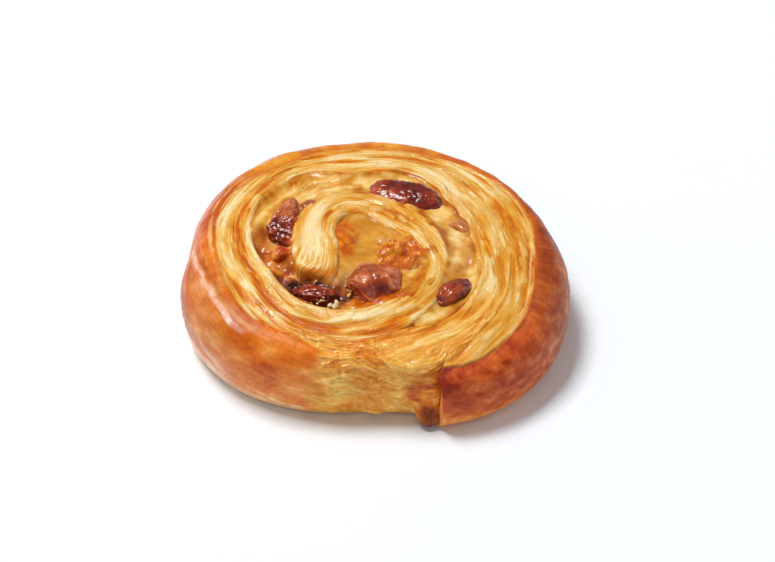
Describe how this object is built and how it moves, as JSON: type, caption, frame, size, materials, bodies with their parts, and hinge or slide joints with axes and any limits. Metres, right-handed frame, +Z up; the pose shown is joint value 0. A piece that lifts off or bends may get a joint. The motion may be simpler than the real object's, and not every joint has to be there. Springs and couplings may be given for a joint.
{
  "type": "raisin roll",
  "caption": "Flat round roll of layered pastry wound in a spiral, with custard and raisins in the open coils and a glazed brown crust round the side",
  "frame": {"origin": "middle of the underside: the centre of the bounding box in plan, at the height that it rests on", "axes": "+Z up, out of the open spiral face; -Y towards the side where the strip's loose end lies, a little right of the middle; +X to the right as seen from there; the strip winds inwards counter-clockwise seen from above"},
  "size_m": [0.0975, 0.0919, 0.0278],
  "materials": {
    "baked_dough": "baked layered dough, golden on the cut face and brown on the side, egg-washed",
    "custard": "baked pastry cream, glossy, browned in patches",
    "raisin_skin": "wrinkled raisin skin, glossy"
  },
  "bodies": {
    "root": {"dough": "baked_dough", "cream": "custard", "raisin_centre": "raisin_skin", "raisin_back": "raisin_skin", "raisin_tip": "raisin_skin", "raisin_right": "raisin_skin", "raisin_left": "raisin_skin", "raisin_left_inner": "raisin_skin", "raisin_glazed": "raisin_skin", "raisin_front": "raisin_skin"}
  },
  "joints": []
}
